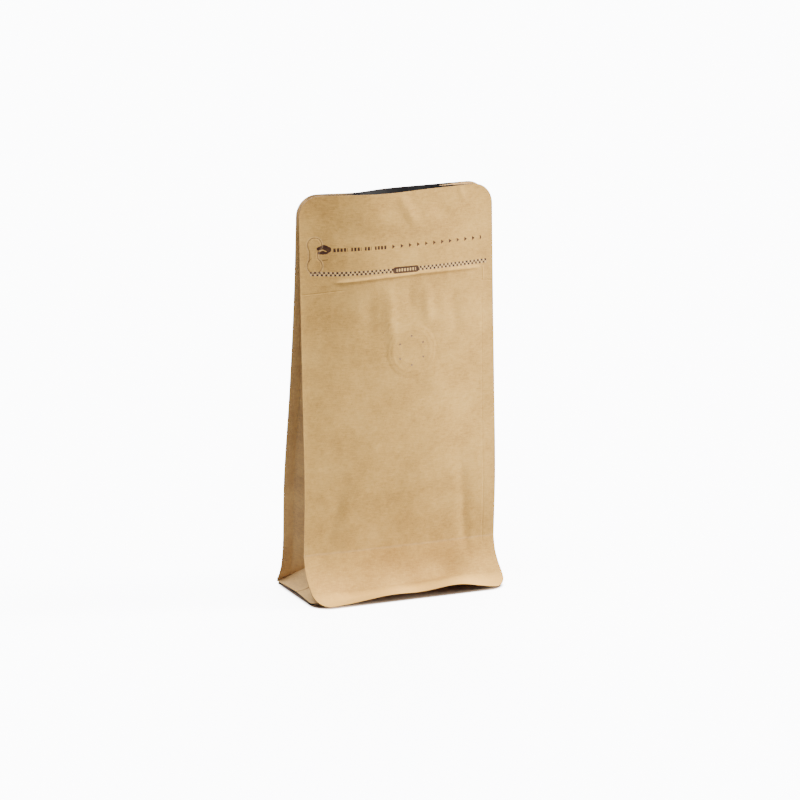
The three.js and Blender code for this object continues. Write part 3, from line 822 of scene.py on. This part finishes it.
# ---- Bottom web ----
# One web under the bag, sealed inside the front and back lips and under the side webs' bottom
# edges. It lies on the floor between them, with a crease along its middle.
BOTTOM_HALF, BOTTOM_RECESS, BOTTOM_RUN = 27.0, 1.2, 7.0
LIP, SIDE_LIP = 6.5, 5.0  # widths of the seals to the lips and to the side webs
LIP_SHORT_START, LIP_SHORT_RUN, LIP_LEAST = 2.0, 9.0, 0.25  # the lip's seal shortens at its ends
LAYER_SHIFT, LAYER_RUN = 1.5, 3.0  # where the side web starts to lie between lip and bottom
BOTTOM_CREASE, CREASE_HALF = 0.9, 4.0
SIDE_GAP, CORNER_SLACK = 0.2, 0.5
TRIM_RUN = 16.0  # from the lip's edge to where the rows are straight again
BOTTOM_PLACE = 40.0  # along the paper, so that its clouds aren't those of the walls


def ramp_height(side, web, q, reach):
    """Height of the slope at a distance q in from the bag's side."""
    share = reach / GUSSET_HALF
    run = HALF_WIDTH - np.abs(fold_point(side, web, reach)[..., 0]) - share
    t = clamp01((q - share) / run) ** (1 / (1 - RAMP_LEAD * share))
    return ramp_point(side, web, t * reach, reach)[..., 2]


def bottom_half(web, x, v):
    """The front or back half of the bottom; v runs back along its paper from the middle crease."""
    p, q = BOTTOM_HALF - np.abs(v), HALF_WIDTH - np.abs(x)
    depth = LAYER * (1 + clamp01((p - q) / LAYER_RUN + LAYER_SHIFT)) + SEAL
    lip = LIP * np.maximum(clamp01((q - LIP_SHORT_START) / LIP_SHORT_RUN), LIP_LEAST)
    sealed = inset(web, x, np.minimum(p, lip), depth)
    down = ease((p - lip) / BOTTOM_RUN)
    y = (sealed[..., 1] + FOOTPRINT_MIDDLE) * (1 - np.maximum(p - lip, 0) / (BOTTOM_HALF - lip))
    crease = BOTTOM_CREASE * np.maximum(1 - np.abs(v) / CREASE_HALF, 0)
    z = FILM + (sealed[..., 2] - FILM) * (1 - down) + crease
    reach = np.maximum(GUSSET_HALF - np.abs(y) / EDGE_SPREAD, 0.01)
    below = SIDE_GAP + CORNER_SLACK * hump(reach, FIN, FIN)
    room, root = np.zeros_like(z), np.zeros_like(z)
    for side in (-1, 1):
        here = np.sign(x) == side
        room = np.where(here, ramp_height(side, web, q, reach), room)
        root = np.where(here, ramp_height(side, web, np.minimum(SIDE_LIP, reach), reach), root)
    room, root = room - below, root - below
    side_z = FILM + (root - FILM) * (1 - ease((q - SIDE_LIP) / BOTTOM_RUN))
    under = np.where(q <= SIDE_LIP, room, np.minimum(np.maximum(z, side_z), room))
    z = np.maximum(np.where(q < reach, np.minimum(under, sealed[..., 2]), z), FILM)
    return np.stack([x + 0 * z, y - FOOTPRINT_MIDDLE, z], -1)


corner_run = 5.0  # of the columns that round the side edges
inner = np.linspace(0, HALF_WIDTH - corner_run, 51)
corner = HALF_WIDTH - corner_run * (1 - np.sin(np.linspace(0, np.pi / 2, 14)))
half_columns = np.concatenate([inner[:-1], corner])
bottom_columns = np.concatenate([-half_columns[:0:-1], half_columns])
half_rows = np.linspace(0, BOTTOM_HALF - BOTTOM_RECESS, 34)
bottom_rows = np.concatenate([-half_rows[:0:-1], half_rows])
bx, bv = np.meshgrid(bottom_columns, bottom_rows)
foot = np.where(bx < 0, FOOT_RADIUS["front_left"], FOOT_RADIUS["front_right"])
foot = np.where(bv < 0, foot, FOOT_RADIUS["back"])
near_lip = np.maximum(1 - (BOTTOM_HALF - np.abs(bv)) / TRIM_RUN, 0)
bv = bv - np.sign(bv) * corner_cut(HALF_WIDTH - np.abs(bx), foot) * near_lip
beside = np.where(bx == 0, 1e-6, bx)  # so that the middle column has a side
bottom_fore, bottom_aft = bottom_half(front_web, beside, bv), bottom_half(back_web, beside, bv)
bottom_grid = np.where((bv < 0)[..., None], bottom_fore, bottom_aft)
bottom_places = np.stack([bx, bv + BOTTOM_PLACE], -1)
bottom = sheet("bottom_web", bottom_grid, bottom_places, kraft("kraft_bottom"), paper_near=False)
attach(bottom, "root")
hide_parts("bottom_panel")

# ---- Zip strip ----
# A press-to-close polyethylene zip welded across the inside of the front, under the tear strip:
# a flat flange with two ribs that snap into each other. It is drawn along the web's own path.
ZIP_HALF, ZIP_LOW, ZIP_HIGH = 33.0, 139.2, 144.8
ZIP_THICKNESS, ZIP_DEPTH = 0.25, 0.62  # of the flange, and how far its middle lies in
RIB_SPACING, RIB_RADIUS, RIB_SIDES, RIB_LEAN = 2.4, 0.36, 12, 0.9  # the lean is in radii


def satin_plastic(name, dark, pale, gloss):
    """Dark moulded polyethylene with a fine moulding grain and faint handling marks."""
    finish = Finish(name)
    fine, wide = finish.grain(2600.0), finish.grain(220.0, 3.0)
    return finish.surface(
        Base_Color=finish.mix(wide, dark, pale),
        Roughness=gloss + (wide - 0.5) * 0.2 + (fine - 0.5) * 0.1,
        Normal=finish.bump(fine * 0.01 + wide * 0.02),
    )


def node_tree(name, labels):
    """An empty Geometry Nodes tree with its named inputs, and where its nodes read them."""
    tree = bpy.data.node_groups.new(name, "GeometryNodeTree")
    tree.interface.new_socket(name="Geometry", in_out="INPUT", socket_type="NodeSocketGeometry")
    for label in labels:
        kind = "NodeSocketMaterial" if label == "Material" else "NodeSocketFloat"
        tree.interface.new_socket(name=label, in_out="INPUT", socket_type=kind)
    tree.interface.new_socket(name="Geometry", in_out="OUTPUT", socket_type="NodeSocketGeometry")
    return tree, tree.nodes.new("NodeGroupInput").outputs


def grow(tree, kind, settings, inputs):
    """The first output of a new node, with its settings and the values or links of its sockets."""
    made = tree.nodes.new(kind)
    for key, value in settings.items():
        setattr(made, key, value)
    for key, value in inputs.items():
        for one in value if isinstance(value, list) else [value]:
            if isinstance(one, bpy.types.NodeSocket):
                tree.links.new(one, made.inputs[key])
            else:
                made.inputs[key].default_value = one
    return made.outputs[0]


def circle_line(tree, sides, radius):
    inputs = {"Resolution": sides, "Radius": radius}
    return grow(tree, "GeometryNodeCurvePrimitiveCircle", {"mode": "RADIUS"}, inputs)


def swept(tree, line, section, caps):
    inputs = {"Curve": line, "Profile Curve": section, "Fill Caps": caps}
    return grow(tree, "GeometryNodeCurveToMesh", {}, inputs)


def end_tree(tree, given, parts):
    """Makes a tree's parts real, gives them their material and ends the tree."""
    whole = grow(tree, "GeometryNodeRealizeInstances", {}, {"Geometry": parts})
    inputs = {"Geometry": whole, "Material": given["Material"]}
    dressed = grow(tree, "GeometryNodeSetMaterial", {}, inputs)
    tree.links.new(dressed, tree.nodes.new("NodeGroupOutput").inputs[0])


def grown_piece(name, seed_mesh, tree, values):
    """Runs a tree on a seed mesh, and keeps the result as a plain mesh."""
    piece = placed(name, seed_mesh)
    modifier = piece.modifiers.new("build", "NODES")
    modifier.node_group = tree
    for item in tree.interface.items_tree:
        if item.in_out == "INPUT" and item.name in values:
            modifier[item.identifier] = values[item.name]
    graph = bpy.context.evaluated_depsgraph_get()
    mesh = bpy.data.meshes.new_from_object(piece.evaluated_get(graph), depsgraph=graph)
    mesh.name = name
    piece.modifiers.clear()
    piece.data = mesh
    return piece


zip_plastic = satin_plastic("zip_polyethylene", (0.045, 0.045, 0.05), (0.09, 0.09, 0.095), 0.38)
zip_tree, given = node_tree("zip_along_web", [
    "Flange width", "Flange thickness", "Rib spacing", "Rib radius", "Material",
])
zip_path = grow(zip_tree, "GeometryNodeMeshToCurve", {}, {"Mesh": given["Geometry"]})
zip_path = grow(zip_tree, "GeometryNodeSetCurveNormal", {"mode": "Z_UP"}, {"Curve": zip_path})
flange_section = grow(zip_tree, "GeometryNodeCurvePrimitiveQuadrilateral", {}, {
    "Width": given["Flange thickness"], "Height": given["Flange width"],
})
rib_section = circle_line(zip_tree, RIB_SIDES, given["Rib radius"])
times = {"operation": "MULTIPLY"}
lean = grow(zip_tree, "ShaderNodeMath", times, {0: given["Rib radius"], 1: RIB_LEAN})
zip_parts = [swept(zip_tree, zip_path, flange_section, True)]
for level in (-0.5, 0.5):
    lift = grow(zip_tree, "ShaderNodeMath", times, {0: given["Rib spacing"], 1: level})
    offset = grow(zip_tree, "ShaderNodeCombineXYZ", {}, {"Y": lean, "Z": lift})
    line = grow(zip_tree, "GeometryNodeTransform", {}, {
        "Geometry": zip_path, "Translation": offset,
    })
    zip_parts.append(swept(zip_tree, line, rib_section, True))
end_tree(zip_tree, given, grow(zip_tree, "GeometryNodeJoinGeometry", {}, {"Geometry": zip_parts}))
zip_x = np.linspace(-ZIP_HALF, ZIP_HALF, 60)
zip_s = np.full_like(zip_x, (ZIP_LOW + ZIP_HIGH) / 2)
zip_line = inset(front_web, zip_x, zip_s, FILM + ZIP_DEPTH) * MM
zip_seed = bpy.data.meshes.new("zip_path")
zip_seed.from_pydata(zip_line.tolist(), [(i, i + 1) for i in range(len(zip_x) - 1)], [])
zip_piece = grown_piece("press_zip", zip_seed, zip_tree, {
    "Flange width": (ZIP_HIGH - ZIP_LOW) * MM, "Flange thickness": ZIP_THICKNESS * MM,
    "Rib spacing": RIB_SPACING * MM, "Rib radius": RIB_RADIUS * MM, "Material": zip_plastic,
})
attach(zip_piece, "root")
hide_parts("zip_strip")

# ---- Valve ----
# A moulded one-way valve welded inside the front: a thin welding rim, a raised body, and a well
# whose vents are covered by a flap. Only its ring shows through the paper, with six pinholes.
VALVE_PROFILE = [  # radius, height
    (0, 0.05), (10.6, 0.05), (11, 0.2), (11, 0.6), (10.6, 0.72), (9.6, 0.78), (9.2, 1.0),
    (8.8, 2.05), (8.4, 2.4), (7.4, 2.4), (7.1, 2.1), (6.4, 2.1), (6.1, 2.4), (5.7, 2.4),
    (5.3, 1.7), (5.1, 1.4), (1.3, 1.4), (1.1, 1.75), (0, 1.8),
]
VALVE_DEPTH = 0.45  # behind the laminate
SPOKES = 96
valve_plastic = satin_plastic("valve_polyethylene", (0.05, 0.05, 0.053), (0.085, 0.085, 0.09), 0.42)
valve_seat = inset(front_web, VALVE_X, VALVE_S, FILM + VALVE_DEPTH) * MM
valve_inward = -outward(front_plain, VALVE_X, VALVE_S, -1)
valve_place = Vector((0, 0, 1)).rotation_difference(Vector(valve_inward)).to_matrix().to_4x4()
valve_place.translation = Vector(valve_seat)


def round_axis(radius, height, count):
    """Points round the valve's axis, and a single one on it."""
    turns = [2 * math.pi * k / count for k in range(count if radius else 1)]
    return [(radius * MM * math.cos(a), radius * MM * math.sin(a), height * MM) for a in turns]


spun = bmesh.new()
rings = [[spun.verts.new(p) for p in round_axis(*stop, SPOKES)] for stop in VALVE_PROFILE]
for lower, upper in zip(rings[:-1], rings[1:]):
    for k in range(SPOKES):
        after = (k + 1) % SPOKES
        below = (lower[k % len(lower)], lower[after % len(lower)])
        above = (upper[after % len(upper)], upper[k % len(upper)])
        spun.faces.new(list(dict.fromkeys(below + above)))
bmesh.ops.recalc_face_normals(spun, faces=spun.faces)
bmesh.ops.transform(spun, matrix=valve_place, verts=spun.verts)
valve_mesh = bpy.data.meshes.new("valve")
spun.to_mesh(valve_mesh)
spun.free()
valve_mesh.polygons.foreach_set("use_smooth", [True] * len(valve_mesh.polygons))
valve_mesh.set_sharp_from_angle(angle=math.radians(35))
valve_mesh.materials.append(valve_plastic)
valve = placed("valve", valve_mesh)
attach(valve, "root")
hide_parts("degassing_valve")

# The rims moulded round the valve's vents, and the burrs that the needles left round the six
# pinholes in the paper, are both one small ring repeated on points with a direction.
VENT_CIRCLE, VENT_LEVEL, VENT_RADIUS, VENT_RIM = 3.2, 1.42, 0.75, 0.14
BURR_RADIUS, BURR_RIM = 0.3, 0.05
RING_SIDES, RIM_SIDES = 14, 6
repeat_tree, given = node_tree("repeat_on_points", ["Ring radius", "Ring thickness", "Material"])
facing_way = grow(repeat_tree, "GeometryNodeInputNamedAttribute", {"data_type": "FLOAT_VECTOR"}, {
    "Name": "facing",
})
aligned = grow(repeat_tree, "FunctionNodeAlignRotationToVector", {"axis": "Z"}, {
    "Vector": facing_way,
})
ring_line = circle_line(repeat_tree, RING_SIDES, given["Ring radius"])
rim_section = circle_line(repeat_tree, RIM_SIDES, given["Ring thickness"])
end_tree(repeat_tree, given, grow(repeat_tree, "GeometryNodeInstanceOnPoints", {}, {
    "Points": given["Geometry"], "Rotation": aligned,
    "Instance": swept(repeat_tree, ring_line, rim_section, False),
}))


def points_with_facing(name, points, facing):
    """Loose points for a tree to repeat on, each with the direction that its ring faces."""
    mesh = bpy.data.meshes.new(name)
    mesh.from_pydata([tuple(p) for p in points], [], [])
    facings = mesh.attributes.new("facing", "FLOAT_VECTOR", "POINT")
    facings.data.foreach_set("vector", np.ravel(facing))
    return mesh


hole_x, hole_s = np.array(PINHOLES).T
hole_points = front_web(hole_x, hole_s) * MM
hole_facing = outward(front_web, hole_x, hole_s, -1)
burr_finish = Finish("pinhole_burr")
burr_colour = burr_finish.mix(burr_finish.grain(4000.0), (0.36, 0.22, 0.11), (0.66, 0.46, 0.27))
burrs = grown_piece(
    "pinhole_burrs", points_with_facing("pinholes", hole_points, hole_facing), repeat_tree,
    {"Ring radius": BURR_RADIUS * MM, "Ring thickness": BURR_RIM * MM,
     "Material": burr_finish.surface(Base_Color=burr_colour, Roughness=0.85)},
)
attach(burrs, "root")

vent_points = [valve_place @ Vector(p) for p in round_axis(VENT_CIRCLE, VENT_LEVEL, 6)]
vent_facing = np.tile(valve_inward, (len(vent_points), 1))
vents = grown_piece(
    "valve_vents", points_with_facing("vent_points", vent_points, vent_facing), repeat_tree,
    {"Ring radius": VENT_RADIUS * MM, "Ring thickness": VENT_RIM * MM, "Material": valve_plastic},
)
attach(vents, "root")

# ---- Floor, light and camera ----
# A pale glowing table, which only the camera sees, with a painted shadow where the bag stands: a
# patch that does not glow, brown as if lit by the kraft above it. A darker floor under it, with the
# same patch, throws light back. A low light rakes the front from the far right, a soft one hangs
# overhead, a weak one stands behind, and the sky is cool.
FLOOR_HALF = 9.0  # metres
# The painted shadow is a rectangle with round corners, in millimetres.
SHADOW_HALF_X, SHADOW_HALF_Y, SHADOW_MIDDLE_Y, SHADOW_CORNER, SHADOW_FADE = 36.5, 16.1, 0.4, 8.0, 1.8
SHADOW_COLOUR = (0.25, 0.165, 0.095)
BOUNCE_DROP = 0.4  # of the darker floor, under the table


def ground(name, height, dark, pale, glow):
    signs = ((-1, -1), (1, -1), (1, 1), (-1, 1))
    corners = [(x * FLOOR_HALF, y * FLOOR_HALF, height) for x, y in signs]
    mesh = bpy.data.meshes.new(name)
    mesh.from_pydata(corners, [], [(0, 1, 2, 3)])
    finish = Finish(name)
    place = finish.node("ShaderNodeTexCoord", {}, {}, "Object")
    x, y = finish.part(place, "X"), finish.part(place, "Y")
    past_x = (abs(x) - SHADOW_HALF_X * MM).top(0.0)
    past_y = (abs(y - SHADOW_MIDDLE_Y * MM) - SHADOW_HALF_Y * MM).top(0.0)
    outside = ((apart(past_x, past_y) - SHADOW_CORNER * MM) / (SHADOW_FADE * MM)).limited()
    mesh.materials.append(finish.surface(
        Base_Color=finish.mix(outside, SHADOW_COLOUR, finish.mix(finish.grain(30.0), dark, pale)),
        Roughness=0.9,
        Emission_Color=finish.mix(outside, (0, 0, 0), (1, 1, 1)),
        Emission_Strength=glow,
    ))
    plane = placed(name, mesh)
    return plane


floor = ground("floor", 0.0, (0.90, 0.90, 0.90), (0.93, 0.93, 0.93), 8.0)
floor.visible_diffuse = floor.visible_glossy = floor.visible_shadow = False
bounce = ground("dark_floor", -BOUNCE_DROP * MM, (0.17, 0.16, 0.15), (0.19, 0.18, 0.17), 0.0)
bounce.visible_camera = False


def way_to(azimuth, elevation):
    """Unit vector from the bag; azimuth 0 is straight in front and grows to the right."""
    azimuth, elevation = math.radians(azimuth), math.radians(elevation)
    level = math.cos(elevation)
    return Vector((math.sin(azimuth) * level, -math.cos(azimuth) * level, math.sin(elevation)))


LIGHTS = [  # name, azimuth, elevation, spread, strength, colour
    ("key", 77, 12, 20, 14.5, (1, 0.985, 0.95)), ("top", -40, 80, 50, 6.8, (1, 1, 1)),
    ("rim", 155, 35, 30, 2.6, (1, 1, 1)),
]
for label, azimuth, elevation, spread, power, tint in LIGHTS:
    sun = bpy.data.lights.new(label, "SUN")
    sun.energy, sun.angle, sun.color = power, math.radians(spread), tint
    fixture = placed(label, sun)
    fixture.rotation_euler = (-way_to(azimuth, elevation)).to_track_quat("-Z", "Y").to_euler()

world = bpy.data.worlds.new("studio")
world.use_nodes = True
sky = world.node_tree.nodes["Background"]
sky.inputs["Color"].default_value, sky.inputs["Strength"].default_value = (0.90, 0.99, 1.4, 1), 0.80
bpy.context.scene.world = world

LOOK_AT = Vector((5.1, -FOOTPRINT_MIDDLE, 82.5)) * MM
VIEW, DISTANCE = (-23.4, 13.5), 1.74  # azimuth and elevation; metres
lens = bpy.data.cameras.new("camera")
lens.lens, lens.sensor_width, lens.clip_end = 180, 36, 60
camera = placed("camera", lens)
away = way_to(*VIEW)
camera.location = LOOK_AT + away * DISTANCE
camera.rotation_euler = (-away).to_track_quat("-Z", "Y").to_euler()
bpy.context.scene.camera = camera
